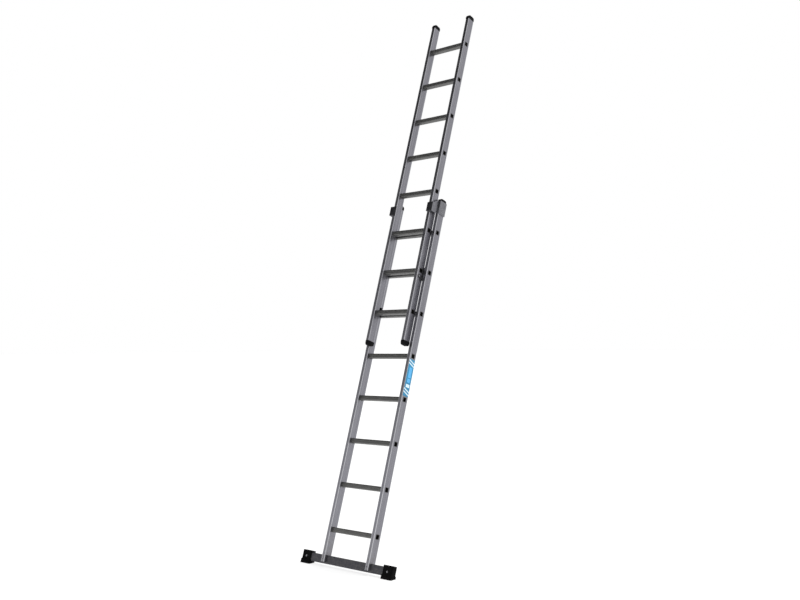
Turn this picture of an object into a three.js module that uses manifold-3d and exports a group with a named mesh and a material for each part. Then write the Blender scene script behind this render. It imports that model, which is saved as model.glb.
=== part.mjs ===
// A two-section aluminium extension ladder, standing at its working lean.
//
// Everything is built in the ladder's own frame and tilted at the end: x runs across the rungs,
// y runs from the climbing side to the wall side, and z runs up along the stiles, with z = 0 on
// the axis of the base section's lowest rung. Lengths are in millimetres.

import * as THREE from 'three';
import { mergeVertices } from 'three/addons/utils/BufferGeometryUtils.js';
import Module from 'manifold-3d';

const wasm = await Module();
wasm.setup();

// ---- driving dimensions ----

const LEAN = THREE.MathUtils.degToRad(17.5); // from the vertical
const GAP = 0.3; // clearance between pieces that touch
const RUNG_PITCH = 280;
const RUNG_COUNT = 8; // in each section
const RUNG_SIZE = 30; // square
const RUNG_WALL = 1.6;
const RUNG_CORNER = 4;

const STILE_WIDTH = 25;
const STILE_DEPTH = 58;
const STILE_WALL = 1.8;
const STILE_CORNER = 3;

const BASE_WIDTH = 394; // outside the stiles
const FLY_WIDTH = 330;
const BASE_FRONT = 50; // the base stiles' front face, behind the fly's
const BASE_BOTTOM = -198;
const BASE_TOP = 2168;

const FLY_RAISED = 5 * RUNG_PITCH; // the fly's lowest rung above the base's, fully extended
const FLY_BELOW = 194; // stile below its lowest rung
const FLY_ABOVE = 196; // stile above its top rung

const CAP_HEIGHT = 27; // end cap outside the stile
const SHOE_HEIGHT = 30; // fly's end shoe outside the stile
const PLUG_DEPTH = 24; // cap or shoe inside the stile

const BAR_LENGTH = 736;
const BAR_DEPTH = 28;
const BAR_HEIGHT = 52;
const BAR_WALL = 2;
const BAR_FRONT = 66;
const BAR_TOP = -156.5;

const BOOT_WIDTH = 76;
const BOOT_CENTRE = 339; // across the ladder
const BOOT_FRONT = 60;
const BOOT_BACK = 100;
const BOOT_TOP = -146;
const SOLE_LEVEL = -221; // where the floor meets the bar's middle plane
const SOLE_THICKNESS = 10;
const SOLE_LIP = 5;

const HOOK_RUNG = 6; // index of the base rung that the hooks hang on
const HOOK_THICKNESS = 4;
const HOOK_PIN_Y = 20;
const HOOK_PIN_BELOW = 38; // pin below the rung's axis
const HOOK_PIN_RADIUS = 4;
const GLIDE_HEIGHT = 26;

const GUIDE_PLATE = 3;
const GUIDE_BOTTOM = 2085;
const GUIDE_TOP = 2178;
const GUIDE_FRONT_TOP = 2148; // its arm is lower at the front
const GUIDE_ARM = 183; // the arm's outer face, across the ladder
const GUIDE_RETURN = 141; // where the part in front of the fly ends
const GUIDE_FRONT = -7;

const LABEL_BOTTOM = 862;
const LABEL_TOP = 1098;

const BASE_MIDDLE = BASE_FRONT + STILE_DEPTH / 2; // middle plane of the base section
const FLY_MIDDLE = STILE_DEPTH / 2;
const BAR_MIDDLE = BAR_FRONT + BAR_DEPTH / 2;
const BAR_CENTRE_Z = BAR_TOP - BAR_HEIGHT / 2;

const SIDES = { left: -1, right: 1 };

// ---- materials ----

const finish = (color, roughness, metalness) =>
  new THREE.MeshStandardMaterial({ color, roughness, metalness });

const stileAluminium = () => finish(0x9a9aa0, 0.42, 1.0);
const rungAluminium = () => finish(0x8c8c8e, 0.45, 1.0);
const barAluminium = () => finish(0x55555a, 0.45, 1.0);
const plateMetal = () => finish(0xa4a6aa, 0.35, 1.0);
const rivetMetal = () => finish(0xb9bcc0, 0.3, 1.0);
const blackSteel = () => finish(0x202224, 0.5, 0.8);
const blackPlastic = () => finish(0x141416, 0.5, 0.0);
const blackRubber = () => finish(0x0e0e10, 0.8, 0.0);
const labelFilm = () => finish(0x2f9fd8, 0.4, 0.0);

// ---- solids ----

// Axes of a flat outline once it is stood up: (its x, its y, its thickness).
const X = new THREE.Vector3(1, 0, 0);
const Y = new THREE.Vector3(0, 1, 0);
const Z = new THREE.Vector3(0, 0, 1);
const ALONG_Z = new THREE.Matrix4(); // outline in x, y
const ALONG_X = new THREE.Matrix4().makeBasis(Y, Z, X); // outline in y, z
const ALONG_Y = new THREE.Matrix4().makeBasis(X, Z, Y.clone().negate()); // outline in x, z

// An outline given its thickness, its middle at the origin of the thickness axis.
function slab(outline, thickness, stand = ALONG_Z, curveSegments = 3) {
  const settings = { depth: thickness, bevelEnabled: false, steps: 1, curveSegments };
  const geometry = new THREE.ExtrudeGeometry(outline, settings);
  return geometry.translate(0, 0, -thickness / 2).applyMatrix4(stand);
}

function box(width, depth, height, x = 0, y = 0, z = 0) {
  return new THREE.BoxGeometry(width, depth, height).translate(x, y, z);
}

// A round bar along x or y, its middle at the origin.
function roundBar(radius, length, axis, sides = 16) {
  const geometry = new THREE.CylinderGeometry(radius, radius, length, sides);
  return axis === X ? geometry.rotateZ(-Math.PI / 2) : geometry;
}

function roundedRectangle(width, height, radius) {
  const w = width / 2 - radius;
  const h = height / 2 - radius;
  const outline = new THREE.Shape();
  outline.absarc(w, h, radius, 0, Math.PI / 2);
  outline.absarc(-w, h, radius, Math.PI / 2, Math.PI);
  outline.absarc(-w, -h, radius, Math.PI, 1.5 * Math.PI);
  outline.absarc(w, -h, radius, 1.5 * Math.PI, 2 * Math.PI);
  outline.closePath();
  return outline;
}

function tubeOutline(width, height, radius, wall) {
  const outline = roundedRectangle(width, height, radius);
  const bore = roundedRectangle(width - 2 * wall, height - 2 * wall, Math.max(radius - wall, 0.8));
  outline.holes.push(bore);
  return outline;
}

function polygon(points) {
  return new THREE.Shape(points.map(([a, b]) => new THREE.Vector2(a, b)));
}

function toManifold(geometry) {
  const bare = geometry.clone();
  bare.deleteAttribute('normal');
  bare.deleteAttribute('uv');
  const merged = mergeVertices(bare, 1e-3);
  const vertProperties = new Float32Array(merged.attributes.position.array);
  const triVerts = new Uint32Array(merged.index.array);
  return new wasm.Manifold(new wasm.Mesh({ numProp: 3, vertProperties, triVerts }));
}

function toGeometry(manifold) {
  const { vertProperties, triVerts } = manifold.getMesh();
  const geometry = new THREE.BufferGeometry();
  geometry.setAttribute('position', new THREE.BufferAttribute(new Float32Array(vertProperties), 3));
  geometry.setIndex(new THREE.BufferAttribute(new Uint32Array(triVerts), 1));
  geometry.computeVertexNormals();
  return geometry;
}

function joined(...geometries) {
  return toGeometry(geometries.map(toManifold).reduce((whole, piece) => whole.add(piece)));
}

function cut(geometry, ...tools) {
  return toGeometry(tools.map(toManifold).reduce((rest, tool) => rest.subtract(tool),
    toManifold(geometry)));
}

// ---- the scene graph ----

const ladder = new THREE.Group();
const base = new THREE.Group();
const fly = new THREE.Group();
fly.position.z = FLY_RAISED;
ladder.add(base, fly);

function place(group, name, geometry, material, x = 0, y = 0, z = 0) {
  const mesh = new THREE.Mesh(geometry, material);
  mesh.name = name;
  mesh.position.set(x, y, z);
  group.add(mesh);
}

// ---- stiles and rungs, the same extrusions in both sections ----

const stileCentre = (width) => width / 2 - STILE_WIDTH / 2;

// A hollow stile from bottom to top, with a square hole for each rung; tools cut more away.
function stile(bottom, top, tools = []) {
  const section = tubeOutline(STILE_WIDTH, STILE_DEPTH, STILE_CORNER, STILE_WALL);
  const tube = slab(section, top - bottom).translate(0, 0, (bottom + top) / 2);
  const hole = roundedRectangle(RUNG_SIZE + 2 * GAP, RUNG_SIZE + 2 * GAP, RUNG_CORNER + GAP);
  const holes = [];
  for (let k = 0; k < RUNG_COUNT; k += 1) {
    holes.push(slab(hole, 2 * STILE_WIDTH, ALONG_X).translate(0, 0, k * RUNG_PITCH));
  }
  return cut(tube, ...holes, ...tools);
}

function rung(width) {
  return slab(tubeOutline(RUNG_SIZE, RUNG_SIZE, RUNG_CORNER, RUNG_WALL), width, ALONG_X);
}

function addRungs(group, section, width, y) {
  for (let k = 0; k < RUNG_COUNT; k += 1) {
    place(group, `${section}_rung_${k + 1}`, rung(width), rungAluminium(), 0, y, k * RUNG_PITCH);
  }
}

// ---- end caps and shoes: a moulded block on the stile's end and a plug inside it ----

// The block's side view is flat against the stile and rounded at its free end; up is 1 or -1.
function endBlock(height, up) {
  const half = STILE_DEPTH / 2;
  const crown = height * 0.6;
  const outline = new THREE.Shape();
  outline.moveTo(-half, 0);
  outline.lineTo(half, 0);
  outline.lineTo(half, up * (height - crown));
  outline.quadraticCurveTo(half, up * height, half - crown, up * height);
  outline.lineTo(-half + crown, up * height);
  outline.quadraticCurveTo(-half, up * height, -half, up * (height - crown));
  outline.closePath();
  return slab(outline, STILE_WIDTH, ALONG_X, 6);
}

function endPlug(up) {
  const clear = 2 * (STILE_WALL + GAP);
  const section = roundedRectangle(STILE_WIDTH - clear, STILE_DEPTH - clear, 1.2);
  return slab(section, PLUG_DEPTH + 1).translate(0, 0, -up * (PLUG_DEPTH - 1) / 2);
}

function topCap() {
  return joined(endBlock(CAP_HEIGHT, 1), endPlug(1));
}

// The fly's caps have a small lip that hangs down over the front of the stile.
function flyTopCap() {
  const front = -STILE_DEPTH / 2;
  const root = box(STILE_WIDTH - 6, 10, 6, 0, front - 0.8, 3.3);
  const lip = box(STILE_WIDTH - 6, 5.5, 12, 0, front - GAP - 2.75, 0.3);
  return joined(endBlock(CAP_HEIGHT, 1), endPlug(1), root, lip);
}

function flyShoe() {
  return joined(endBlock(SHOE_HEIGHT, -1), endPlug(-1));
}

// ---- stabiliser bar, its boots and its fixings ----

function stabiliserBar(boltHoles) {
  const section = tubeOutline(BAR_DEPTH, BAR_HEIGHT, 2.5, BAR_WALL);
  return cut(slab(section, BAR_LENGTH, ALONG_X), ...boltHoles);
}

// The block that lies below the floor plane, in a frame whose origin is on the floor under the bar.
function belowFloor() {
  return box(2 * BOOT_WIDTH, 4 * BOOT_WIDTH, BOOT_WIDTH, 0, 0, -BOOT_WIDTH / 2).rotateX(LEAN);
}

// A boot, drawn about the bar's middle plane with z = 0 where that plane meets the floor.
function boot(side) {
  const height = BOOT_TOP - SOLE_LEVEL;
  const depth = BOOT_BACK - BOOT_FRONT;
  const middle = (BOOT_FRONT + BOOT_BACK) / 2 - BAR_MIDDLE;
  const face = roundedRectangle(BOOT_WIDTH, height + 30, 7);
  const body = slab(face, depth, ALONG_Y, 4).translate(0, middle, (height - 30) / 2);
  const pad = roundedRectangle(BOOT_WIDTH + 2 * SOLE_LIP, depth + 2 * SOLE_LIP, 9);
  const sole = slab(pad, SOLE_THICKNESS, ALONG_Z, 4)
    .translate(0, middle, SOLE_THICKNESS / 2).rotateX(LEAN);
  const reach = BAR_LENGTH / 2 + GAP - BOOT_CENTRE; // bar end past the boot's middle
  const socketLength = reach + BOOT_WIDTH;
  const socket = box(socketLength, BAR_DEPTH + 2 * GAP, BAR_HEIGHT + 2 * GAP,
    side * (reach - socketLength / 2), 0, BAR_CENTRE_Z - SOLE_LEVEL);
  const rivetHole = roundBar(3.2 + GAP, depth, Y)
    .translate(0, -depth / 2, BAR_CENTRE_Z - SOLE_LEVEL);
  return cut(joined(body, sole), belowFloor(), socket, rivetHole);
}

// Domed head towards -y with its shank behind it; the head's underside is at y = 0.
function rivetAlongY(headRadius, headHeight, shankRadius, shankLength) {
  const profile = [
    [0, -shankLength],
    [shankRadius, -shankLength],
    [shankRadius, 0],
    [headRadius, 0],
    [headRadius * 0.82, headHeight * 0.6],
    [headRadius * 0.45, headHeight * 0.93],
    [0, headHeight],
  ];
  const points = profile.map(([radius, height]) => new THREE.Vector2(radius, height));
  const turned = new THREE.LatheGeometry(points, 16);
  return toGeometry(toManifold(turned.rotateX(Math.PI)));
}

function hexNut(acrossFlats, height) {
  const radius = acrossFlats / Math.sqrt(3);
  return new THREE.CylinderGeometry(radius, radius, height, 6);
}

function addFoot() {
  const boltX = stileCentre(BASE_WIDTH);
  const boltHoles = Object.values(SIDES).map((side) =>
    roundBar(4 + GAP, 2 * BAR_DEPTH, Y).translate(side * boltX, 0, 0));
  const bootRivetHoles = Object.values(SIDES).map((side) =>
    roundBar(3.2 + GAP, BAR_DEPTH, Y).translate(side * BOOT_CENTRE, -BAR_DEPTH / 2, 0));
  const bar = stabiliserBar([...boltHoles, ...bootRivetHoles]);
  place(base, 'stabiliser_bar', bar, barAluminium(), 0, BAR_MIDDLE, BAR_CENTRE_Z);
  for (const [name, side] of Object.entries(SIDES)) {
    place(base, `boot_${name}`, boot(side), blackRubber(),
      side * BOOT_CENTRE, BAR_MIDDLE, SOLE_LEVEL);
    place(base, `boot_rivet_${name}`, rivetAlongY(6, 2.6, 3.2, BAR_FRONT - BOOT_FRONT + 4),
      rivetMetal(), side * BOOT_CENTRE, BOOT_FRONT - GAP, BAR_CENTRE_Z);
    const boltLength = BAR_FRONT + BAR_DEPTH - BASE_FRONT + 10;
    place(base, `bar_bolt_${name}`, rivetAlongY(7, 3.2, 4, boltLength), rivetMetal(),
      side * boltX, BASE_FRONT - GAP, BAR_CENTRE_Z);
    const nut = cut(hexNut(13, 6.5), roundBar(4 + GAP, 20, Y));
    place(base, `bar_nut_${name}`, nut, rivetMetal(),
      side * boltX, BAR_FRONT + BAR_DEPTH + GAP + 3.25, BAR_CENTRE_Z);
  }
}

// ---- guides at the top of the base section, which hold the fly in ----

const GUIDE_RIVETS = [2101, 2125]; // heights up the stile

const mirrored = (points, side) => polygon(points.map(([x, y]) => [side * x, y]));

// A bent strip: along the stile's outer face, in to the arm, forward, and in front of the fly.
function guideBracket(side) {
  const face = BASE_WIDTH / 2 + GAP;
  const step = BASE_FRONT - GAP;
  const plan = mirrored([
    [face, BASE_FRONT + STILE_DEPTH + 4],
    [face + GUIDE_PLATE, BASE_FRONT + STILE_DEPTH + 4],
    [face + GUIDE_PLATE, step - GUIDE_PLATE],
    [GUIDE_ARM, step - GUIDE_PLATE],
    [GUIDE_ARM, GUIDE_FRONT],
    [GUIDE_RETURN, GUIDE_FRONT],
    [GUIDE_RETURN, GUIDE_FRONT + GUIDE_PLATE],
    [GUIDE_ARM - GUIDE_PLATE, GUIDE_FRONT + GUIDE_PLATE],
    [GUIDE_ARM - GUIDE_PLATE, step],
    [face, step],
  ], side);
  const strip = slab(plan, GUIDE_TOP - GUIDE_BOTTOM)
    .translate(0, 0, (GUIDE_TOP + GUIDE_BOTTOM) / 2);
  const slope = polygon([
    [step - GUIDE_PLATE - 4, GUIDE_TOP + 1],
    [0, GUIDE_FRONT_TOP],
    [GUIDE_FRONT - 5, GUIDE_FRONT_TOP],
    [GUIDE_FRONT - 5, GUIDE_TOP + 1],
  ]);
  const holes = GUIDE_RIVETS.map((z) =>
    roundBar(2.4 + GAP, 20, X, 12).translate(side * face, BASE_MIDDLE, z));
  return cut(strip, slab(slope, 4 * GUIDE_ARM, ALONG_X), ...holes);
}

// The plastic pad is a sleeve over the bracket's front, between it and the fly.
function guidePad(side) {
  const slotFront = GUIDE_FRONT - GAP;
  const slotBack = GUIDE_FRONT + GUIDE_PLATE + GAP;
  const armInner = GUIDE_ARM - GUIDE_PLATE - GAP;
  const plan = mirrored([
    [GUIDE_RETURN - 2.5, slotFront - 3],
    [GUIDE_ARM + 1, slotFront - 3],
    [GUIDE_ARM + 1, slotFront],
    [GUIDE_RETURN - GAP, slotFront],
    [GUIDE_RETURN - GAP, slotBack],
    [armInner, slotBack],
    [armInner, -0.5],
    [GUIDE_RETURN - 2.5, -0.5],
  ], side);
  const height = GUIDE_FRONT_TOP - GUIDE_BOTTOM;
  return slab(plan, height).translate(0, 0, GUIDE_BOTTOM + height / 2);
}

function guideRivet(side) {
  return rivetAlongY(5, 2, 2.4, GUIDE_PLATE + STILE_WALL + 2).rotateZ(side * Math.PI / 2);
}

function addGuides() {
  for (const [name, side] of Object.entries(SIDES)) {
    place(base, `guide_bracket_${name}`, guideBracket(side), plateMetal());
    place(base, `guide_pad_${name}`, guidePad(side), blackPlastic());
    const headX = side * (BASE_WIDTH / 2 + 2 * GAP + GUIDE_PLATE);
    ['lower', 'upper'].forEach((level, k) => {
      place(base, `guide_rivet_${name}_${level}`, guideRivet(side), rivetMetal(),
        headX, BASE_MIDDLE, GUIDE_RIVETS[k]);
    });
  }
}

// ---- hooks on the fly, which hang on a rung of the base ----

// Side view in y and z, about the pin: a lever that rises in front of the rung to a nose over it.
function rungHook() {
  const rungTop = HOOK_PIN_BELOW + RUNG_SIZE / 2 + GAP;
  const rungFront = BASE_MIDDLE - RUNG_SIZE / 2 - HOOK_PIN_Y;
  const limbBack = rungFront - 2.5;
  const limbFront = limbBack - 14;
  const outline = new THREE.Shape();
  outline.absarc(0, 0, 11, Math.PI * 0.3, Math.PI * 1.6);
  outline.lineTo(20, -29);
  outline.quadraticCurveTo(38, -30, limbBack, -10);
  outline.lineTo(limbBack, rungTop);
  outline.lineTo(limbBack + 28, rungTop);
  outline.quadraticCurveTo(limbBack + 33, rungTop + 6, limbBack + 27, rungTop + 12);
  outline.lineTo(limbBack - 7, rungTop + 13.5);
  outline.quadraticCurveTo(limbFront, rungTop + 12, limbFront, rungTop);
  outline.lineTo(limbFront, 4);
  outline.quadraticCurveTo(limbFront - 1.5, -9, 17, -6);
  outline.closePath();
  const plate = slab(outline, HOOK_THICKNESS, ALONG_X, 5);
  return cut(plate, roundBar(HOOK_PIN_RADIUS + GAP, 20, X));
}

// The pin's head is outside the hook and its shank runs through both walls of the stile.
function hookPin(side) {
  const shank = STILE_WIDTH + 2 * GAP + HOOK_THICKNESS + 1;
  return rivetAlongY(7, 1.6, HOOK_PIN_RADIUS, shank).rotateZ(side * Math.PI / 2);
}

// A small pad clipped on the fly stile's inner back corner, which rides on the base's rungs.
function glidePad(side) {
  const inner = FLY_WIDTH / 2 - STILE_WIDTH;
  const plan = mirrored([
    [inner - GAP, STILE_DEPTH - 14],
    [inner - GAP, STILE_DEPTH + GAP],
    [inner + 18, STILE_DEPTH + GAP],
    [inner + 18, STILE_DEPTH + 4],
    [inner - 4, STILE_DEPTH + 4],
    [inner - 8, STILE_DEPTH],
    [inner - 8, STILE_DEPTH - 10],
  ], side);
  return slab(plan, GLIDE_HEIGHT).translate(0, 0, RUNG_SIZE / 2 + 2 + GLIDE_HEIGHT / 2);
}

const hookPinZ = HOOK_RUNG * RUNG_PITCH - HOOK_PIN_BELOW - FLY_RAISED; // in the fly's frame

function addHooks() {
  const face = FLY_WIDTH / 2;
  for (const [name, side] of Object.entries(SIDES)) {
    place(fly, `rung_hook_${name}`, rungHook(), blackSteel(),
      side * (face + GAP + HOOK_THICKNESS / 2), HOOK_PIN_Y, hookPinZ);
    place(fly, `hook_pin_${name}`, hookPin(side), rivetMetal(),
      side * (face + 2 * GAP + HOOK_THICKNESS), HOOK_PIN_Y, hookPinZ);
    place(fly, `glide_pad_${name}`, glidePad(side), blackPlastic());
  }
}

// ---- the two sections ----

function baseStile() {
  const notchTop = BAR_TOP + GAP;
  const notch = box(2 * STILE_WIDTH, STILE_DEPTH, notchTop - BASE_BOTTOM + 10, 0,
    BAR_FRONT - GAP + STILE_DEPTH / 2 - BASE_MIDDLE, (notchTop + BASE_BOTTOM - 10) / 2);
  const boltHole = roundBar(4 + GAP, 2 * STILE_DEPTH, Y).translate(0, 0, BAR_CENTRE_Z);
  return stile(BASE_BOTTOM, BASE_TOP, [notch, boltHole]);
}

function addBase() {
  const centre = stileCentre(BASE_WIDTH);
  for (const [name, side] of Object.entries(SIDES)) {
    const rivetHoles = toManifold(baseStile());
    const drilled = GUIDE_RIVETS.reduce((rest, z) => rest.subtract(
      toManifold(roundBar(2.4 + GAP, 8, X, 12).translate(side * STILE_WIDTH / 2, 0, z))),
    rivetHoles);
    place(base, `base_stile_${name}`, toGeometry(drilled), stileAluminium(),
      side * centre, BASE_MIDDLE, 0);
    place(base, `base_top_cap_${name}`, topCap(), blackPlastic(),
      side * centre, BASE_MIDDLE, BASE_TOP + GAP);
  }
  addRungs(base, 'base', BASE_WIDTH, BASE_MIDDLE);
}

function addFly() {
  const centre = stileCentre(FLY_WIDTH);
  const top = (RUNG_COUNT - 1) * RUNG_PITCH + FLY_ABOVE;
  const pinHole = roundBar(HOOK_PIN_RADIUS + GAP, 2 * STILE_WIDTH, X)
    .translate(0, HOOK_PIN_Y - FLY_MIDDLE, hookPinZ);
  for (const [name, side] of Object.entries(SIDES)) {
    place(fly, `fly_stile_${name}`, stile(-FLY_BELOW, top, [pinHole]), stileAluminium(),
      side * centre, FLY_MIDDLE, 0);
    place(fly, `fly_top_cap_${name}`, flyTopCap(), blackPlastic(),
      side * centre, FLY_MIDDLE, top + GAP);
    place(fly, `fly_shoe_${name}`, flyShoe(), blackPlastic(),
      side * centre, FLY_MIDDLE, -FLY_BELOW - GAP);
  }
  addRungs(fly, 'fly', FLY_WIDTH, FLY_MIDDLE);
}

// The label film on the right stile, at a reader's height.
function addLabel() {
  const height = LABEL_TOP - LABEL_BOTTOM;
  const film = slab(roundedRectangle(STILE_DEPTH - 6, height, 2), 0.4, ALONG_X, 2);
  place(base, 'side_label', film, labelFilm(),
    BASE_WIDTH / 2 + GAP + 0.2, BASE_MIDDLE, LABEL_BOTTOM + height / 2);
}

addBase();
addGuides();
addFoot();
addLabel();
addFly();
addHooks();

// ---- lean the ladder and stand it on the floor, centred over the origin ----

ladder.rotation.x = -LEAN;
ladder.updateMatrixWorld(true);
const bounds = new THREE.Box3().setFromObject(ladder, true);
const middle = bounds.getCenter(new THREE.Vector3());
ladder.position.set(-middle.x, -middle.y, -bounds.min.z);

const extensionLadder = new THREE.Group();
extensionLadder.add(ladder);
extensionLadder.updateMatrixWorld(true);

export default extensionLadder;
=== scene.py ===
# Two-section aluminium extension ladder, leaning at its working angle
import bpy, bmesh
from math import radians
from mathutils import Vector, Matrix, Euler


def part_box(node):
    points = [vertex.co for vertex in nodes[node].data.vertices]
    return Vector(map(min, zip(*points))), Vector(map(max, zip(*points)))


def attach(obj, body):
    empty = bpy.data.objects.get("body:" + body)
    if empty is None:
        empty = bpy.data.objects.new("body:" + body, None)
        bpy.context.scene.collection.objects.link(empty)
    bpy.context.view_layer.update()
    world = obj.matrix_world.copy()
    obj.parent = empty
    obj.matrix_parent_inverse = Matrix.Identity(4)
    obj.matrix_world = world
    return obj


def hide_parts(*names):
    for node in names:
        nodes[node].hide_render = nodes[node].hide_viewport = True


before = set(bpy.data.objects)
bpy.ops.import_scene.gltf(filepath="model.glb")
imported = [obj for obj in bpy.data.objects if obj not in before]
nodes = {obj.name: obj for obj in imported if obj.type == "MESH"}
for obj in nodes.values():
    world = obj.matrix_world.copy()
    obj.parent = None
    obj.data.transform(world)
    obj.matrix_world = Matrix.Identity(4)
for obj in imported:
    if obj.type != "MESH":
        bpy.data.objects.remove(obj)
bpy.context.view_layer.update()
sides = {"left": -1, "right": 1}

# the ladder's own frame: x across, y from climber to wall, z up the stiles from the lowest rung's axis
ladder = {
    "lean": radians(17.5),
    "pitch": 0.280,
    "rungs": 8,
    "raised": 1.400,        # the fly's lowest rung above the base's
    "baseMiddle": 0.079,    # middle plane of the base section, in y
    "flyMiddle": 0.029,
    "baseHalf": 0.197,
    "flyHalf": 0.165,
    "stileWidth": 0.025,
    "stileDepth": 0.058,
}

lowRung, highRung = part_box("base_rung_1")
rungAxis = (Vector(lowRung) + Vector(highRung)) / 2
leanTurn = Matrix.Rotation(-ladder["lean"], 4, "X")
standShift = rungAxis - (leanTurn @ Vector((0, ladder["baseMiddle"], 0)))
standUp = Matrix.Translation(standShift) @ leanTurn
print("stage: frame loaded")

aligned = 0.9       # how closely a direction has to follow an axis to count as along it
near = 0.00001      # how close two places are to count as one


def pickOnly(obj):
    if bpy.context.object and bpy.context.object.mode != "OBJECT":
        bpy.ops.object.mode_set(mode="OBJECT")
    bpy.ops.object.select_all(action="DESELECT")
    obj.select_set(True)
    bpy.context.view_layer.objects.active = obj


def newBox(name, size, at):
    bpy.ops.object.select_all(action="DESELECT")
    bpy.ops.mesh.primitive_cube_add(size=1, location=at)
    obj = bpy.context.object
    obj.name = name
    obj.scale = size
    bpy.ops.object.transform_apply(location=True, rotation=False, scale=True)
    return obj


def editOn(obj, mode="FACE"):
    pickOnly(obj)
    bpy.ops.object.mode_set(mode="EDIT")
    bpy.ops.mesh.select_mode(type=mode)
    bpy.ops.mesh.select_all(action="DESELECT")


def editOff():
    bpy.ops.object.mode_set(mode="OBJECT")


def pickFaces(obj, test):
    mesh = bmesh.from_edit_mesh(obj.data)
    for face in mesh.faces:
        face.select_set(test(face.calc_center_median(), face.normal))
    bmesh.update_edit_mesh(obj.data)


def pickEdges(obj, test):
    mesh = bmesh.from_edit_mesh(obj.data)
    for edge in mesh.edges:
        a, b = (v.co for v in edge.verts)
        edge.select_set(test((a + b) / 2, (b - a).normalized()))
    bmesh.update_edit_mesh(obj.data)


def pickVerts(obj, test):
    mesh = bmesh.from_edit_mesh(obj.data)
    for vert in mesh.verts:
        vert.select_set(test(vert.co))
    mesh.select_flush(True)
    bmesh.update_edit_mesh(obj.data)


def cutAt(obj, axis, value):        # an edge line all round, without removing anything
    bpy.ops.mesh.select_all(action="SELECT")
    normal = tuple(1.0 if i == axis else 0.0 for i in range(3))
    place = tuple(value if i == axis else 0.0 for i in range(3))
    bpy.ops.mesh.bisect(plane_co=place, plane_no=normal)
    bpy.ops.mesh.select_all(action="DESELECT")


def applyModifier(obj, kind, **settings):
    pickOnly(obj)
    modifier = obj.modifiers.new(kind.lower(), kind)
    for key, value in settings.items():
        setattr(modifier, key, value)
    bpy.ops.object.modifier_apply(modifier=modifier.name)


def carve(obj, tool):
    applyModifier(obj, "BOOLEAN", operation="DIFFERENCE", object=tool, solver="EXACT")
    bpy.data.objects.remove(tool, do_unlink=True)


def settle(obj):         # one fixed order of vertices, edges and faces, whatever order the cuts left
    editOn(obj, "VERT")
    mesh = bmesh.from_edit_mesh(obj.data)

    def corners(item):
        return sorted(v.co[:] for v in item.verts)

    for items, place in ((mesh.verts, lambda v: v.co[:]), (mesh.edges, corners), (mesh.faces, corners)):
        for index, item in enumerate(sorted(items, key=place)):
            item.index = index
        items.sort()
    bmesh.update_edit_mesh(obj.data)
    editOff()


def smooth(obj, angle):
    pickOnly(obj)
    bpy.ops.object.shade_smooth_by_angle(angle=radians(angle))


def dress(obj, *materials):
    obj.data.materials.clear()
    for material in materials:
        obj.data.materials.append(material)


def stand(obj, x=0, y=0, z=0):       # from the ladder's own frame to its leaning place
    obj.data.transform(standUp @ Matrix.Translation((x, y, z)))
    obj.data.update()


def copyOf(source, name):
    obj = bpy.data.objects.new(name, source.data.copy())
    bpy.context.scene.collection.objects.link(obj)
    return obj


def finishPiece(obj, body, slotName, *replaced):
    if replaced:
        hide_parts(*replaced)
    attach(obj, body)


# a node group with its named sockets, for an effect that several materials share
def newGroup(name, inputs, outputs):
    group = bpy.data.node_groups.new(name, "ShaderNodeTree")
    for label, kind, value in inputs:
        socket = group.interface.new_socket(label, in_out="INPUT", socket_type=kind)
        if value is not None:
            socket.default_value = value
    for label, kind in outputs:
        group.interface.new_socket(label, in_out="OUTPUT", socket_type=kind)
    entry = group.nodes.new("NodeGroupInput")
    leave = group.nodes.new("NodeGroupOutput")
    return group, entry, leave


def math(tree, operation, a, b=None, clamp=False):
    node = tree.nodes.new("ShaderNodeMath")
    node.operation = operation
    node.use_clamp = clamp
    for socket, value in zip(node.inputs, (a, b)):
        if value is None:
            continue
        if isinstance(value, (int, float)):
            socket.default_value = value
        else:
            tree.links.new(value, socket)
    return node.outputs[0]


def part(tree, mask, share):             # a mask at part of its strength
    return math(tree, "MULTIPLY", mask, share)


def between(tree, value, low, high):     # 1 inside low..high, 0 outside
    up = math(tree, "GREATER_THAN", value, low)
    down = math(tree, "LESS_THAN", value, high)
    return math(tree, "MULTIPLY", up, down)


def mapRange(tree, value, fromLow, fromHigh, toLow=0.0, toHigh=1.0):
    node = tree.nodes.new("ShaderNodeMapRange")
    node.interpolation_type = "SMOOTHSTEP"
    ends = {"From Min": fromLow, "From Max": fromHigh, "To Min": toLow, "To Max": toHigh}
    for label, number in ends.items():
        if isinstance(number, (int, float)):
            node.inputs[label].default_value = number
        else:
            tree.links.new(number, node.inputs[label])
    tree.links.new(value, node.inputs["Value"])
    return node.outputs["Result"]


def noise(tree, vector, scale, detail, rough=0.5, distortion=0.0):
    node = tree.nodes.new("ShaderNodeTexNoise")
    node.inputs["Detail"].default_value = detail
    node.inputs["Roughness"].default_value = rough
    node.inputs["Distortion"].default_value = distortion
    if isinstance(scale, (int, float)):
        node.inputs["Scale"].default_value = scale
    else:
        tree.links.new(scale, node.inputs["Scale"])
    tree.links.new(vector, node.inputs["Vector"])
    return node.outputs["Fac"]


def stretched(tree, vector, stretch):              # vector times a stretch vector
    node = tree.nodes.new("ShaderNodeVectorMath")
    node.operation = "MULTIPLY"
    tree.links.new(vector, node.inputs[0])
    if isinstance(stretch, tuple):
        node.inputs[1].default_value = stretch
    else:
        tree.links.new(stretch, node.inputs[1])
    return node.outputs[0]


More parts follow.
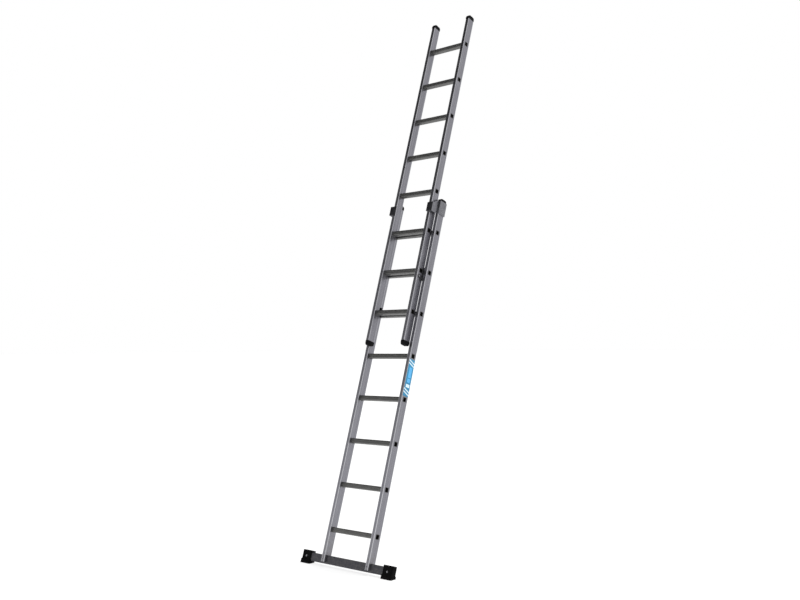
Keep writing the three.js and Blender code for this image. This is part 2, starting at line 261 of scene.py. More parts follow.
# long drawn lines: an extrusion's die marks, or brushing
def makeDrawnLines():
    group, entry, leave = newGroup("drawnLines",
        [("Vector", "NodeSocketVector", None), ("Stretch", "NodeSocketVector", (500, 500, 3))],
        [("Lines", "NodeSocketFloat"), ("Height", "NodeSocketFloat")])
    drawn = stretched(group, entry.outputs["Vector"], entry.outputs["Stretch"])
    fine = noise(group, drawn, scale=1.0, detail=4.0, rough=0.6)
    wider = stretched(group, drawn, (0.25, 0.25, 0.5))
    broad = noise(group, wider, scale=1.0, detail=2.0)
    lines = math(group, "ADD", part(group, fine, share=0.6), part(group, broad, share=0.4))
    group.links.new(mapRange(group, lines, fromLow=0.32, fromHigh=0.68), leave.inputs["Lines"])
    group.links.new(fine, leave.inputs["Height"])
    return group


# cloudy handling marks and oxide bloom
def makeBloom():
    group, entry, leave = newGroup("bloom",
        [("Vector", "NodeSocketVector", None), ("Scale", "NodeSocketFloat", 9.0),
         ("Coverage", "NodeSocketFloat", 0.5)],
        [("Mask", "NodeSocketFloat")])
    cloud = noise(group, entry.outputs["Vector"], entry.outputs["Scale"],
                  detail=5.0, rough=0.62, distortion=0.4)
    low = math(group, "SUBTRACT", 0.72, part(group, entry.outputs["Coverage"], share=0.4))
    high = math(group, "ADD", low, 0.22)       # the width of a patch's soft edge
    group.links.new(mapRange(group, cloud, low, high), leave.inputs["Mask"])
    return group


# short random scratches
def makeScratches():
    group, entry, leave = newGroup("scratches",
        [("Vector", "NodeSocketVector", None), ("Stretch", "NodeSocketVector", (90, 90, 9)),
         ("Amount", "NodeSocketFloat", 0.5)],
        [("Mask", "NodeSocketFloat")])
    wobble = noise(group, entry.outputs["Vector"], scale=30.0, detail=2.0)
    shift = part(group, wobble, share=0.6)
    moved = group.nodes.new("ShaderNodeVectorMath")
    moved.operation = "ADD"
    group.links.new(stretched(group, entry.outputs["Vector"], entry.outputs["Stretch"]), moved.inputs[0])
    group.links.new(shift, moved.inputs[1])
    cells = group.nodes.new("ShaderNodeTexVoronoi")
    cells.feature = "DISTANCE_TO_EDGE"
    cells.inputs["Scale"].default_value = 1.0
    group.links.new(moved.outputs[0], cells.inputs["Vector"])
    line = mapRange(group, cells.outputs["Distance"], fromLow=0.0, fromHigh=0.012, toLow=1.0, toHigh=0.0)
    cloud = noise(group, entry.outputs["Vector"], scale=14.0, detail=2.0)
    patch = mapRange(group, cloud, fromLow=0.5, fromHigh=0.62)
    thin = math(group, "MULTIPLY", math(group, "MULTIPLY", line, patch), entry.outputs["Amount"])
    group.links.new(thin, leave.inputs["Mask"])
    return group


# dust and grime that gathers towards the ground
def makeGroundDust():
    group, entry, leave = newGroup("groundDust",
        [("Vector", "NodeSocketVector", None), ("Top", "NodeSocketFloat", 0.35),
         ("Amount", "NodeSocketFloat", 0.5)],
        [("Mask", "NodeSocketFloat")])
    split = group.nodes.new("ShaderNodeSeparateXYZ")
    group.links.new(entry.outputs["Vector"], split.inputs[0])
    fall = mapRange(group, split.outputs["Z"], 0.0, entry.outputs["Top"], toLow=1.0, toHigh=0.0)
    speckle = noise(group, entry.outputs["Vector"], scale=60.0, detail=6.0, rough=0.65)
    grain = mapRange(group, speckle, fromLow=0.35, fromHigh=0.7)
    amount = math(group, "MULTIPLY", math(group, "MULTIPLY", fall, grain), entry.outputs["Amount"])
    group.links.new(amount, leave.inputs["Mask"])
    return group


# painted highlight strips along a stile's four corners, with a little relief: a lighter colour standing in
# for the light that the rounded corners catch
def makePaintedCornerHighlight():
    group, entry, leave = newGroup("paintedCornerHighlight",
        [("Vector", "NodeSocketVector", None), ("Across", "NodeSocketFloat", 0.0),
         ("Middle", "NodeSocketFloat", 0.0), ("Reach", "NodeSocketFloat", 0.005)],
        [("Mask", "NodeSocketFloat")])
    split = group.nodes.new("ShaderNodeSeparateXYZ")
    group.links.new(entry.outputs["Vector"], split.inputs[0])
    outward = math(group, "ABSOLUTE", split.outputs["X"])
    fromStile = math(group, "SUBTRACT", outward, entry.outputs["Across"])
    fromMiddle = math(group, "SUBTRACT", split.outputs["Y"], entry.outputs["Middle"])
    masks = []
    for offset, half in ((fromStile, ladder["stileWidth"] / 2), (fromMiddle, ladder["stileDepth"] / 2)):
        gap = math(group, "ABSOLUTE", math(group, "SUBTRACT", math(group, "ABSOLUTE", offset), half))
        full = part(group, entry.outputs["Reach"], share=0.55)
        masks.append(mapRange(group, gap, full, entry.outputs["Reach"], toLow=1.0, toHigh=0.0))
    group.links.new(math(group, "MULTIPLY", *masks), leave.inputs["Mask"])
    return group


# fine pebbled skin of moulded plastic or rubber
def makeMouldedSkin():
    group, entry, leave = newGroup("mouldedSkin",
        [("Vector", "NodeSocketVector", None), ("Scale", "NodeSocketFloat", 900.0)],
        [("Height", "NodeSocketFloat"), ("Tone", "NodeSocketFloat")])
    cells = group.nodes.new("ShaderNodeTexVoronoi")
    group.links.new(entry.outputs["Vector"], cells.inputs["Vector"])
    group.links.new(entry.outputs["Scale"], cells.inputs["Scale"])
    fine = noise(group, entry.outputs["Vector"], entry.outputs["Scale"], detail=2.0)
    pebble = part(group, cells.outputs["Distance"], share=0.7)
    mixed = math(group, "ADD", pebble, part(group, fine, share=0.3))
    group.links.new(mixed, leave.inputs["Height"])
    cloud = noise(group, entry.outputs["Vector"], scale=25.0, detail=4.0)
    group.links.new(mapRange(group, cloud, fromLow=0.3, fromHigh=0.7), leave.inputs["Tone"])
    return group


effects = {
    "drawnLines": makeDrawnLines(),
    "bloom": makeBloom(),
    "scratches": makeScratches(),
    "groundDust": makeGroundDust(),
    "paintedCornerHighlight": makePaintedCornerHighlight(),
    "mouldedSkin": makeMouldedSkin(),
}
print("stage: shared effects built")


# an empty material with its shader, and coordinates in the scene and along the ladder
def startMaterial(name):
    material = bpy.data.materials.new(name)
    material.use_nodes = True
    tree = material.node_tree
    tree.nodes.clear()
    leave = tree.nodes.new("ShaderNodeOutputMaterial")
    shader = tree.nodes.new("ShaderNodeBsdfPrincipled")
    tree.links.new(shader.outputs[0], leave.inputs["Surface"])
    place = tree.nodes.new("ShaderNodeTexCoord").outputs["Object"]
    turned = tree.nodes.new("ShaderNodeMapping")        # world place into the ladder's own frame
    turned.vector_type = "POINT"
    back = leanTurn.inverted() @ (-standShift)
    turned.inputs["Rotation"].default_value = (ladder["lean"], 0, 0)
    turned.inputs["Location"].default_value = tuple(back)
    tree.links.new(place, turned.inputs["Vector"])
    return material, tree, shader, place, turned.outputs[0]


def useGroup(tree, name, vector, **values):
    node = tree.nodes.new("ShaderNodeGroup")
    node.node_tree = effects[name]
    tree.links.new(vector, node.inputs["Vector"])
    for label, value in values.items():
        node.inputs[label].default_value = value
    return node


def mixColour(tree, factor, a, b):
    node = tree.nodes.new("ShaderNodeMix")
    node.data_type = "RGBA"
    sockets = [s for s in node.inputs if s.type == "RGBA"]
    for socket, value in zip(sockets, (a, b)):
        if isinstance(value, tuple):
            socket.default_value = (*value, 1.0)
        else:
            tree.links.new(value, socket)
    tree.links.new(factor, node.inputs["Factor"])
    return next(s for s in node.outputs if s.type == "RGBA")


def addBump(tree, shader, height, distance, strength):
    bump = tree.nodes.new("ShaderNodeBump")
    bump.inputs["Distance"].default_value = distance
    bump.inputs["Strength"].default_value = strength
    tree.links.new(height, bump.inputs["Height"])
    tree.links.new(bump.outputs[0], shader.inputs["Normal"])


# for each kind of surface: how high dust reaches and its colour, how strongly each effect changes
# the colour, roughness or metalness, and the depth and strength of its relief
surface = {
    "drawn": {"dustTop": 0.30, "dustColour": (0.20, 0.185, 0.165), "bloomTint": 0.55, "scratchTint": 0.6,
              "roughSwing": 0.06, "bloomRough": 0.12, "dustRough": 0.3, "dustDull": 0.5, "relief": 0.5},
    "moulded": {"dustTop": 0.10, "dustColour": (0.11, 0.10, 0.09), "scuffs": (70.0, 70.0, 60.0),
                "roughSwing": 0.07, "pebbleDepth": 0.0002, "relief": 0.35},
    "plated": {"bloomCoverage": 0.55, "bloomTint": 0.5, "scratches": (110.0, 110.0, 70.0),
               "smoother": 0.05, "rougher": 0.1, "shine": 0.5, "scratchMetal": 0.4,
               "grainDepth": 0.0001, "relief": 0.3},
    "film": {"pebble": 700.0, "scratches": (90.0, 90.0, 40.0), "wear": 0.35, "blotch": 0.12,
             "smooth": 0.28, "rough": 0.42, "pebbleDepth": 0.00005, "relief": 0.2},
}


# drawn aluminium: die lines along it, oxide bloom, scratches, dust near the ground, and on the stiles a
# painted highlight along the corners
def drawnAluminium(name, look):
    kind = surface["drawn"]
    material, tree, shader, place, own = startMaterial(name)
    lines = useGroup(tree, "drawnLines", own, Stretch=look["stretch"])
    bloom = useGroup(tree, "bloom", own, Scale=look["bloomScale"], Coverage=look["bloomCoverage"])
    scratch = useGroup(tree, "scratches", own, Stretch=look["scratchStretch"], Amount=look["scratchAmount"])
    dust = useGroup(tree, "groundDust", place, Top=kind["dustTop"], Amount=look["dust"])
    colour = mixColour(tree, lines.outputs["Lines"], look["dark"], look["light"])
    tint = part(tree, bloom.outputs["Mask"], kind["bloomTint"])
    colour = mixColour(tree, tint, colour, look["bloomColour"])
    tint = part(tree, scratch.outputs["Mask"], kind["scratchTint"])
    colour = mixColour(tree, tint, colour, look["scratchColour"])
    colour = mixColour(tree, dust.outputs["Mask"], colour, kind["dustColour"])
    height = lines.outputs["Height"]
    # a painted highlight along the stile's corners: a lighter colour where light would catch the rounded
    # edges, plus a little relief
    if "paintedCorner" in look:
        paintedCorner = useGroup(tree, "paintedCornerHighlight", own, Across=look["paintedCorner"][0], Middle=look["paintedCorner"][1])
        colour = mixColour(tree, paintedCorner.outputs["Mask"], colour, look["paintedHighlightColour"])
        height = math(tree, "ADD", height, part(tree, paintedCorner.outputs["Mask"], look["beadHeight"]))
    tree.links.new(colour, shader.inputs["Base Color"])
    rough = mapRange(tree, lines.outputs["Lines"], 0.0, 1.0,
                     look["rough"] - kind["roughSwing"], look["rough"] + kind["roughSwing"])
    rough = math(tree, "ADD", rough, part(tree, bloom.outputs["Mask"], kind["bloomRough"]))
    rough = math(tree, "ADD", rough, part(tree, dust.outputs["Mask"], kind["dustRough"]), clamp=True)
    tree.links.new(rough, shader.inputs["Roughness"])
    dull = part(tree, dust.outputs["Mask"], kind["dustDull"])
    metal = math(tree, "SUBTRACT", look["metal"], dull, clamp=True)
    tree.links.new(metal, shader.inputs["Metallic"])
    addBump(tree, shader, height, look["lineDepth"], kind["relief"])
    return material


# moulded plastic or rubber: pebbled skin, faint blotches, scuffs and dust
def moulded(name, look):
    kind = surface["moulded"]
    material, tree, shader, place, own = startMaterial(name)
    skin = useGroup(tree, "mouldedSkin", own, Scale=look["pebble"])
    scratch = useGroup(tree, "scratches", own, Stretch=kind["scuffs"], Amount=look["scuff"])
    dust = useGroup(tree, "groundDust", place, Top=kind["dustTop"], Amount=look["dust"])
    colour = mixColour(tree, skin.outputs["Tone"], look["dark"], look["light"])
    colour = mixColour(tree, scratch.outputs["Mask"], colour, look["scuffColour"])
    colour = mixColour(tree, dust.outputs["Mask"], colour, kind["dustColour"])
    tree.links.new(colour, shader.inputs["Base Color"])
    rough = mapRange(tree, skin.outputs["Tone"], 0.0, 1.0,
                     look["rough"] - kind["roughSwing"], look["rough"] + kind["roughSwing"])
    tree.links.new(rough, shader.inputs["Roughness"])
    shader.inputs["Metallic"].default_value = 0.0
    shader.inputs["Specular IOR Level"].default_value = look["shine"]
    addBump(tree, shader, skin.outputs["Height"], kind["pebbleDepth"], kind["relief"])
    return material


# plated or painted sheet and fixings: fine grain, spangle and wear
def platedMetal(name, look):
    kind = surface["plated"]
    material, tree, shader, place, own = startMaterial(name)
    lines = useGroup(tree, "drawnLines", own, Stretch=look["stretch"])
    bloom = useGroup(tree, "bloom", own, Scale=look["bloomScale"], Coverage=kind["bloomCoverage"])
    scratch = useGroup(tree, "scratches", own, Stretch=kind["scratches"], Amount=look["wear"])
    colour = mixColour(tree, lines.outputs["Lines"], look["dark"], look["light"])
    tint = part(tree, bloom.outputs["Mask"], kind["bloomTint"])
    colour = mixColour(tree, tint, colour, look["bloomColour"])
    colour = mixColour(tree, scratch.outputs["Mask"], colour, look["wearColour"])
    tree.links.new(colour, shader.inputs["Base Color"])
    rough = mapRange(tree, bloom.outputs["Mask"], 0.0, 1.0,
                     look["rough"] - kind["smoother"], look["rough"] + kind["rougher"])
    tree.links.new(rough, shader.inputs["Roughness"])
    shader.inputs["Specular IOR Level"].default_value = look.get("shine", kind["shine"])
    bared = part(tree, scratch.outputs["Mask"], kind["scratchMetal"])
    metal = math(tree, "ADD", look["metal"], bared, clamp=True)
    tree.links.new(metal, shader.inputs["Metallic"])
    addBump(tree, shader, bloom.outputs["Mask"], kind["grainDepth"], kind["relief"])
    return material


stileLook = {
    "stretch": (420.0, 420.0, 1.6), "scratchStretch": (60.0, 60.0, 7.0), "bloomScale": 7.0,
    "bloomCoverage": 0.5, "scratchAmount": 0.5, "dust": 0.5, "rough": 0.30, "metal": 0.9,
    "lineDepth": 0.00012, "dark": (0.190, 0.188, 0.212), "light": (0.275, 0.273, 0.302),
    "bloomColour": (0.30, 0.30, 0.325), "scratchColour": (0.40, 0.40, 0.42),
    # the corner strips' colour is a painted highlight
    "paintedHighlightColour": (0.52, 0.52, 0.55), "beadHeight": 2.0,      # against the die lines' own height
}
highlightedCorners = {     # each section's stile middle across the ladder, and its middle from climber to wall, around which the painted corner highlights run
    "baseStile": (ladder["baseHalf"] - ladder["stileWidth"] / 2, ladder["baseMiddle"]),
    "flyStile": (ladder["flyHalf"] - ladder["stileWidth"] / 2, ladder["flyMiddle"]),
}
finishes = {
    "rung": drawnAluminium("wornRung", {
        "stretch": (2.2, 520.0, 520.0), "scratchStretch": (14.0, 80.0, 80.0), "bloomScale": 11.0,
        "bloomCoverage": 0.45, "scratchAmount": 0.7, "dust": 0.3, "rough": 0.34, "metal": 0.9,
        "lineDepth": 0.00012, "dark": (0.092, 0.092, 0.090), "light": (0.172, 0.172, 0.168),
        "bloomColour": (0.24, 0.24, 0.234), "scratchColour": (0.36, 0.36, 0.35)}),
    "bar": drawnAluminium("coatedBar", {
        "stretch": (2.0, 380.0, 380.0), "scratchStretch": (20.0, 70.0, 70.0), "bloomScale": 9.0,
        "bloomCoverage": 0.30, "scratchAmount": 0.5, "dust": 0.25, "rough": 0.42, "metal": 0.75,
        "lineDepth": 0.0001, "dark": (0.042, 0.042, 0.050), "light": (0.068, 0.068, 0.080),
        "bloomColour": (0.10, 0.10, 0.115), "scratchColour": (0.30, 0.30, 0.31)}),
    # the inside of the rung tubes: painted shade, near black, standing in for the shade deep inside the
    # bore
    "rungBoreShade": platedMetal("paintedBoreShade", {
        "stretch": (3.0, 300.0, 300.0), "bloomScale": 30.0, "wear": 0.1, "rough": 0.8, "metal": 0.0,
        "shine": 0.05, "dark": (0.003, 0.003, 0.004), "light": (0.006, 0.006, 0.008),
        "bloomColour": (0.010, 0.010, 0.012), "wearColour": (0.02, 0.02, 0.02)}),
    "bracket": platedMetal("platedSheet", {
        "stretch": (240.0, 240.0, 30.0), "bloomScale": 60.0, "wear": 0.5, "rough": 0.34, "metal": 0.9,
        "dark": (0.150, 0.150, 0.165), "light": (0.225, 0.225, 0.245),
        "bloomColour": (0.30, 0.30, 0.32), "wearColour": (0.20, 0.20, 0.22)}),
    "rivet": platedMetal("platedFixing", {
        "stretch": (300.0, 300.0, 300.0), "bloomScale": 160.0, "wear": 0.4, "rough": 0.32, "metal": 0.9,
        "dark": (0.20, 0.20, 0.215), "light": (0.28, 0.28, 0.295),
        "bloomColour": (0.34, 0.34, 0.35), "wearColour": (0.14, 0.14, 0.15)}),
    "hook": platedMetal("blackCoatedSteel", {
        "stretch": (160.0, 160.0, 160.0), "bloomScale": 50.0, "wear": 0.6, "rough": 0.45, "metal": 0.3,
        "dark": (0.016, 0.016, 0.018), "light": (0.03, 0.03, 0.033),
        "bloomColour": (0.04, 0.04, 0.043), "wearColour": (0.22, 0.22, 0.22)}),
    "pad": moulded("darkGuidePlastic", {
        "pebble": 1400.0, "scuff": 0.35, "dust": 0.3, "rough": 0.48, "shine": 0.2,
        "dark": (0.012, 0.012, 0.014), "light": (0.026, 0.026, 0.030),
        "scuffColour": (0.07, 0.07, 0.07)}),
    "cap": moulded("blackMouldedPlastic", {
        "pebble": 1400.0, "scuff": 0.2, "dust": 0.2, "rough": 0.50, "shine": 0.06,
        "dark": (0.0025, 0.0025, 0.003), "light": (0.006, 0.006, 0.007),
        "scuffColour": (0.03, 0.03, 0.03)}),
    "boot": moulded("blackMouldedRubber", {
        "pebble": 900.0, "scuff": 0.12, "dust": 0.02, "rough": 0.62, "shine": 0.04,
        "dark": (0.0022, 0.0022, 0.0026), "light": (0.005, 0.005, 0.0055),
        "scuffColour": (0.02, 0.02, 0.02)}),
}
# each stile finish gets its own painted corner highlights
for section, paintedCorner in highlightedCorners.items():
    finishes[section] = drawnAluminium(section, {**stileLook, "paintedCorner": paintedCorner})


# printed film: striped ends and plain blocks, with no lettering
def printedFilm(name, look):
    kind = surface["film"]
    material, tree, shader, place, own = startMaterial(name)
    split = tree.nodes.new("ShaderNodeSeparateXYZ")
    tree.links.new(own, split.inputs[0])
    across, along = split.outputs["Y"], split.outputs["Z"]
    fromMiddle = math(tree, "SUBTRACT", across, ladder["baseMiddle"])
    slant = math(tree, "ADD", along, part(tree, fromMiddle, look["slope"]))

    def block(left, right, low, high):
        inside = between(tree, across, left, right)
        return math(tree, "MULTIPLY", inside, between(tree, along, low, high))

    def together(shapes):
        mask = shapes[0]
        for shape in shapes[1:]:
            mask = math(tree, "ADD", mask, shape, clamp=True)
        return mask

    stripes = [between(tree, slant, low, high) for low, high in look["stripes"]]
    white = together(stripes + [block(*edges) for edges in look["blocks"]])
    pale = together([block(*edges) for edges in look["paleBlocks"]])
    skin = useGroup(tree, "mouldedSkin", own, Scale=kind["pebble"])
    wear = useGroup(tree, "scratches", own, Stretch=kind["scratches"], Amount=kind["wear"])
    field = mapRange(tree, along, look["bottom"], look["top"])
    colour = mixColour(tree, field, look["low"], look["high"])
    colour = mixColour(tree, pale, colour, look["pale"])
    colour = mixColour(tree, white, colour, look["ink"])
    tint = part(tree, skin.outputs["Tone"], kind["blotch"])
    colour = mixColour(tree, tint, colour, look["shade"])
    colour = mixColour(tree, wear.outputs["Mask"], colour, look["wearColour"])
    tree.links.new(colour, shader.inputs["Base Color"])
    rough = mapRange(tree, skin.outputs["Tone"], 0.0, 1.0, kind["smooth"], kind["rough"])
    tree.links.new(rough, shader.inputs["Roughness"])
    shader.inputs["Metallic"].default_value = 0.0
    addBump(tree, shader, skin.outputs["Height"], kind["pebbleDepth"], kind["relief"])
    return material


finishes["label"] = printedFilm("printedFilm", {
    "bottom": 0.862, "top": 1.098, "slope": 0.37,
    "stripes": [(0.877, 0.885), (0.896, 0.904), (1.060, 1.068), (1.078, 1.086)],
    "blocks": [(0.064, 0.098, 0.918, 0.938)],
    "paleBlocks": [(0.068, 0.094, 0.950, 0.974), (0.068, 0.094, 0.980, 1.046)],
    "low": (0.014, 0.23, 0.43), "high": (0.020, 0.27, 0.50), "pale": (0.10, 0.48, 0.90),
    "ink": (0.80, 0.95, 1.0), "shade": (0.012, 0.17, 0.32), "wearColour": (0.7, 0.72, 0.74)})
print("stage: materials built")


# rungs: fluted square tube, swaged at the stiles
rung = {
    "size": 0.030,
    "corner": 0.004,
    "wall": 0.0016,
    "flutes": (-0.0070, 0.0, 0.0070),
    "fluteHalf": 0.0010,
    "fluteDepth": 0.0008,
    "beadWidth": 0.0024,
    "beadHeight": 0.0014,
    "beadSteps": (0.0, 0.25, 0.75, 1.0),      # the bead rises and falls over its outer quarters
    "proud": 0.00025,     # how far its ends stand out of the stiles
    "shade": 32,
}


def makeRung(name, half, inner):
    size = rung["size"]
    length = 2 * (half + rung["proud"])
    obj = newBox(name, (length, size, size), (0, 0, 0))
    editOn(obj, "EDGE")
    pickEdges(obj, lambda place, along: abs(along.x) > aligned)
    bpy.ops.mesh.bevel(offset=rung["corner"], segments=3)
    bpy.ops.mesh.select_mode(type="FACE")
    bpy.ops.mesh.select_all(action="DESELECT")
    pickFaces(obj, lambda place, normal: abs(normal.x) > aligned)
    bpy.ops.mesh.delete(type="FACE")
    bpy.ops.mesh.select_mode(type="VERT")
    for axis in (1, 2):
        for flute in rung["flutes"]:
            for edge in (-1, 0, 1):
                cutAt(obj, axis, flute + edge * rung["fluteHalf"])
    for axis, other in ((1, 2), (2, 1)):
        for side in (-1, 1):
            pickVerts(obj, lambda v: abs(v[other] - side * size / 2) < near
                      and min(abs(v[axis] - f) for f in rung["flutes"]) < near)
            inward = [0.0, 0.0, 0.0]
            inward[other] = -side * rung["fluteDepth"]
            bpy.ops.transform.translate(value=inward)
    for side in (-1, 1):
        for step in rung["beadSteps"]:
            cutAt(obj, 0, side * (inner - rung["beadWidth"] * step))
        low = inner - rung["beadWidth"] * 0.8
        high = inner - rung["beadWidth"] * 0.2
        pickVerts(obj, lambda v: low < side * v.x < high)
        grow = 1 + 2 * rung["beadHeight"] / size
        bpy.ops.transform.resize(value=(1, grow, grow), center_override=(0, 0, 0))
    editOff()
    # the tube's inner faces take the second material, the painted bore shade
    applyModifier(obj, "SOLIDIFY", thickness=rung["wall"], offset=-1, use_even_offset=True,
                  material_offset=1)
    dress(obj, finishes["rung"], finishes["rungBoreShade"])
    smooth(obj, rung["shade"])
    return obj


masters = {
    "base": makeRung("baseRungMaster", ladder["baseHalf"], ladder["baseHalf"] - ladder["stileWidth"]),
    "fly": makeRung("flyRungMaster", ladder["flyHalf"], ladder["flyHalf"] - ladder["stileWidth"]),
}
for section, master in masters.items():
    depth = ladder["baseMiddle"] if section == "base" else ladder["flyMiddle"]
    start = 0.0 if section == "base" else ladder["raised"]
    for k in range(ladder["rungs"]):
        piece = copyOf(master, f"{section}RungTube{k + 1}")
        stand(piece, 0, depth, start + k * ladder["pitch"])
        finishPiece(piece, section, "rung_aluminium", f"{section}_rung_{k + 1}")
    bpy.data.objects.remove(master, do_unlink=True)
print("stage: rungs done")


# softened copies of moulded, bent and cut pieces
softened = {     # node: (bevel width, segments, body, slot, finish)
    "base_top_cap": (0.0012, 3, "base", "cap_plastic", "cap"),
    "guide_pad": (0.0010, 3, "base", "cap_plastic", "pad"),
    "guide_bracket": (0.0007, 2, "base", "bracket_metal", "bracket"),
    "bar_nut": (0.0006, 2, "base", "rivet_metal", "rivet"),
    "fly_top_cap": (0.0012, 3, "fly", "cap_plastic", "cap"),
    "fly_shoe": (0.0012, 3, "fly", "cap_plastic", "cap"),
    "glide_pad": (0.0008, 2, "fly", "cap_plastic", "cap"),
    "rung_hook": (0.0006, 2, None, "hook_steel", "hook"),
}
softening = {"merge": 0.00002, "flat": radians(1.0), "sharp": radians(40), "shade": 40}


def softenedCopy(node, width, segments, finish):
    obj = copyOf(nodes[node], "soft_" + node)
    editOn(obj, "VERT")
    bpy.ops.mesh.select_all(action="SELECT")
    bpy.ops.mesh.remove_doubles(threshold=softening["merge"])
    bpy.ops.mesh.dissolve_limited(angle_limit=softening["flat"])
    editOff()
    applyModifier(obj, "BEVEL", width=width, segments=segments, limit_method="ANGLE",
                  angle_limit=softening["sharp"], use_clamp_overlap=True, harden_normals=False)
    dress(obj, finish)
    smooth(obj, softening["shade"])
    return obj


for root, (width, segments, body, slotName, finishName) in softened.items():
    for side in sides:
        node = f"{root}_{side}"
        piece = softenedCopy(node, width, segments, finishes[finishName])
        finishPiece(piece, body or f"hook_{side}", slotName, node)
print("stage: caps, guides, pads and hooks done")


# boots: ribbed rubber blocks on the bar's ends
boot = {
    "centre": 0.339, "width": 0.076, "front": 0.060, "back": 0.100,
    "top": -0.146, "low": -0.250,          # low is under the floor, which then cuts it flat
    "corner": 0.007, "topEdge": 0.003, "edge": 0.0006, "sharp": radians(50), "merge": 0.00005,
    "flareTop": -0.198, "flareFull": -0.205, "flare": 1.12, "deeper": 0.06,
    "panelTop": 0.004, "panelInset": 0.006, "panelDepth": 0.0012, "panelFacing": 0.99,
    "ribs": (-0.2085, -0.2125), "ribHalf": 0.0008, "ribDepth": 0.0012,
    "treads": 7, "treadWidth": 0.004, "treadDepth": 0.0035, "treadReach": 0.2, "soleDrop": 0.065,
    "barHalf": 0.368, "barFront": 0.066, "barDepth": 0.028, "barTop": -0.1565, "barHeight": 0.052,
    "socketEnd": 0.25, "clear": 0.0003, "shade": 40,
}


def makeBoot(side):
    depth = boot["back"] - boot["front"]
    middle = (boot["back"] + boot["front"]) / 2
    height = boot["top"] - boot["low"]
    centre = (side * boot["centre"], middle, (boot["top"] + boot["low"]) / 2)
    obj = newBox("bootMould", (boot["width"], depth, height), centre)
    editOn(obj, "EDGE")
    pickEdges(obj, lambda place, along: abs(along.z) > aligned)
    bpy.ops.mesh.bevel(offset=boot["corner"], segments=4)
    bpy.ops.mesh.select_all(action="DESELECT")
    pickEdges(obj, lambda place, along: place.z > boot["top"] - near)
    bpy.ops.mesh.bevel(offset=boot["topEdge"], segments=3)
    bpy.ops.mesh.select_mode(type="VERT")
    cutAt(obj, 2, boot["flareTop"])
    cutAt(obj, 2, boot["flareFull"])
    pickVerts(obj, lambda v: v.z < boot["flareFull"] + near)
    bpy.ops.transform.resize(value=(boot["flare"], boot["flare"] + boot["deeper"], 1),
                             center_override=(side * boot["centre"], middle, boot["flareFull"]))
    for rib in boot["ribs"]:
        for edge in (-boot["ribHalf"], boot["ribHalf"]):
            cutAt(obj, 2, rib + edge)
    bpy.ops.mesh.select_mode(type="FACE")
    bpy.ops.mesh.select_all(action="DESELECT")
    pickFaces(obj, lambda place, normal: min(abs(place.z - rib) for rib in boot["ribs"]) < boot["ribHalf"]
              and abs(normal.z) < 0.5)
    bpy.ops.mesh.inset(thickness=0.0, depth=-boot["ribDepth"])
    bpy.ops.mesh.select_all(action="DESELECT")
    pickFaces(obj, lambda place, normal: abs(normal.y) > boot["panelFacing"]
              and boot["flareTop"] < place.z < boot["top"] - boot["panelTop"])
    bpy.ops.mesh.inset(thickness=boot["panelInset"], depth=-boot["panelDepth"])
    editOff()
    obj.data.transform(standUp)
    editOn(obj)
    bpy.ops.mesh.select_all(action="SELECT")
    bpy.ops.mesh.bisect(plane_co=(0, 0, 0), plane_no=(0, 0, 1), clear_inner=True, use_fill=True)
    editOff()
    reach = boot["barHalf"] + boot["clear"]
    socketSize = (reach - boot["socketEnd"], boot["barDepth"] + 2 * boot["clear"],
                  boot["barHeight"] + 2 * boot["clear"])
    socketPlace = (side * (reach + boot["socketEnd"]) / 2, boot["barFront"] + boot["barDepth"] / 2,
                   boot["barTop"] - boot["barHeight"] / 2)
    socket = newBox("socket", socketSize, socketPlace)
    socket.data.transform(standUp)
    carve(obj, socket)
    sole = standUp @ Vector((side * boot["centre"], middle, boot["barTop"] - boot["soleDrop"]))
    for k in range(boot["treads"]):
        offset = (k - (boot["treads"] - 1) / 2) * boot["width"] * boot["flare"] / boot["treads"]
        tread = newBox("tread", (boot["treadWidth"], boot["treadReach"], 2 * boot["treadDepth"]),
                       (sole.x + offset, sole.y, 0))
        carve(obj, tread)
    settle(obj)
    applyModifier(obj, "BEVEL", width=boot["edge"], segments=2, limit_method="ANGLE",
                  angle_limit=boot["sharp"])
    settle(obj)
    editOn(obj, "VERT")                       # the bevel collapses some faces at the treads' ends
    bpy.ops.mesh.select_all(action="SELECT")
    bpy.ops.mesh.remove_doubles(threshold=boot["merge"])
    bpy.ops.mesh.dissolve_degenerate(threshold=boot["merge"])
    editOff()
    dress(obj, finishes["boot"])
    smooth(obj, boot["shade"])
    return obj


for sideName, side in sides.items():
    piece = makeBoot(side)
    piece.name = f"ribbedBoot_{sideName}"
    finishPiece(piece, "base", "boot_rubber", f"boot_{sideName}")
print("stage: boots done")


# finishes on the CAD nodes that stay
kept = {
    "baseStile": ["base_stile_left", "base_stile_right"],
    "flyStile": ["fly_stile_left", "fly_stile_right"],
    "bar": ["stabiliser_bar"],
    "label": ["side_label"],
    "rivet": [f"boot_rivet_{s}" for s in sides] + [f"bar_bolt_{s}" for s in sides]
             + [f"hook_pin_{s}" for s in sides]
             + [f"guide_rivet_{s}_{level}" for s in sides for level in ("lower", "upper")],
}
for finishName, names in kept.items():
    for name in names:
        node = nodes[name]
        if not node.material_slots:
            node.data.materials.append(None)
        for slot in node.material_slots:
            slot.material = finishes[finishName]
print("stage: kept nodes finished")


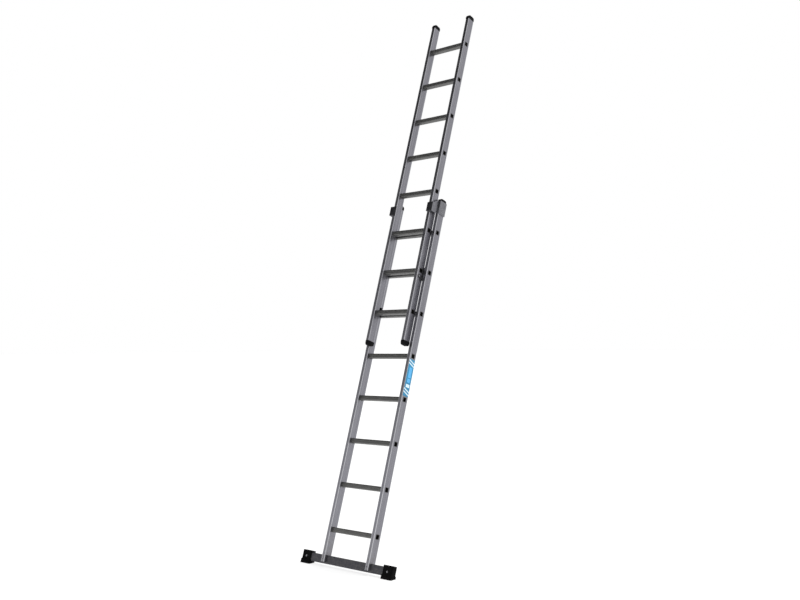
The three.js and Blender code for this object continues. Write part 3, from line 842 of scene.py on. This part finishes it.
# floor, light and camera
studio = {
    "floor": 400.0,
    "floorTone": 0.30,
    "floorGlow": 0.76,      # a lit floor, so that shadows stay faint
    "floorRough": 0.9,
    "cameraPlace": (4.1414, -4.7537, 1.3389),
    "cameraTurn": (93.738, 0.320, 41.333),
    "sensor": 36,
    "lens": 43.346,
    "shift": -0.02,
    "darkWay": (-0.78, -0.62, 0),            # where the dark wall is
    "darkEdge": (0.0, 0.6),                  # how it fades in from the side
    "darkWall": (0.18, 0.50, 1.6, 0.01),     # height from, to, and the strength at each
    "paleWall": (-0.15, 0.12, 0.25, 1.25),
    "roof": (0.5, 0.8, 1.0, 0.08),
    "sunPlace": (1.0, 2.0, 6.5),
    "sunAim": (0, 0, 1.2),
    "sunSpread": radians(40),
    "sunStrength": 2.6,
}

bpy.ops.object.select_all(action="DESELECT")
bpy.ops.mesh.primitive_plane_add(size=studio["floor"], location=(0, 0, 0))
floor = bpy.context.object
floor.name = "studioFloor"
floorMaterial = bpy.data.materials.new("paleFloor")
floorMaterial.use_nodes = True
floorShader = floorMaterial.node_tree.nodes["Principled BSDF"]
floorShader.inputs["Base Color"].default_value = (*[studio["floorTone"]] * 3, 1)
floorShader.inputs["Roughness"].default_value = studio["floorRough"]
floorShader.inputs["Emission Color"].default_value = (1, 1, 1, 1)
floorShader.inputs["Emission Strength"].default_value = studio["floorGlow"]
floor.data.materials.append(floorMaterial)

world = bpy.data.worlds.new("studioWorld")
bpy.context.scene.world = world
world.use_nodes = True
sky = world.node_tree
sky.nodes.clear()
skyOut = sky.nodes.new("ShaderNodeOutputWorld")
seen = sky.nodes.new("ShaderNodeBackground")
seen.inputs["Color"].default_value = (1, 1, 1, 1)
seen.inputs["Strength"].default_value = 1.0
around = sky.nodes.new("ShaderNodeBackground")
way = sky.nodes.new("ShaderNodeTexCoord").outputs["Generated"]
wayParts = sky.nodes.new("ShaderNodeSeparateXYZ")
sky.links.new(way, wayParts.inputs[0])
towards = sky.nodes.new("ShaderNodeVectorMath")       # how far a direction points to the dark wall
towards.operation = "DOT_PRODUCT"
towards.inputs[1].default_value = studio["darkWay"]
sky.links.new(way, towards.inputs[0])
darkSide = mapRange(sky, towards.outputs["Value"], *studio["darkEdge"])
low = mapRange(sky, wayParts.outputs["Z"], *studio["darkWall"])
high = mapRange(sky, wayParts.outputs["Z"], *studio["paleWall"])
roof = mapRange(sky, wayParts.outputs["Z"], *studio["roof"])
pale = math(sky, "MULTIPLY", high, roof)
glow = math(sky, "ADD", math(sky, "MULTIPLY", darkSide, low),
            math(sky, "MULTIPLY", math(sky, "SUBTRACT", 1.0, darkSide), pale))
sky.links.new(glow, around.inputs["Strength"])
path = sky.nodes.new("ShaderNodeLightPath")
choose = sky.nodes.new("ShaderNodeMixShader")
sky.links.new(path.outputs["Is Camera Ray"], choose.inputs[0])
sky.links.new(around.outputs[0], choose.inputs[1])
sky.links.new(seen.outputs[0], choose.inputs[2])
sky.links.new(choose.outputs[0], skyOut.inputs[0])

sunData = bpy.data.lights.new("softSun", "SUN")
sunData.angle = studio["sunSpread"]
sunData.energy = studio["sunStrength"]
sun = bpy.data.objects.new("softSun", sunData)
sun.location = studio["sunPlace"]
sunWay = Vector(studio["sunAim"]) - Vector(studio["sunPlace"])
sun.rotation_euler = sunWay.to_track_quat("-Z", "Y").to_euler()
bpy.context.scene.collection.objects.link(sun)

cameraData = bpy.data.cameras.new("studioCamera")
cameraData.sensor_width = studio["sensor"]
cameraData.lens = studio["lens"]
cameraData.shift_y = studio["shift"]
camera = bpy.data.objects.new("studioCamera", cameraData)
camera.location = studio["cameraPlace"]
camera.rotation_euler = Euler([radians(a) for a in studio["cameraTurn"]], "XYZ")
bpy.context.scene.collection.objects.link(camera)
bpy.context.scene.camera = camera
bpy.context.scene.view_settings.view_transform = "Standard"
print("stage: studio set")
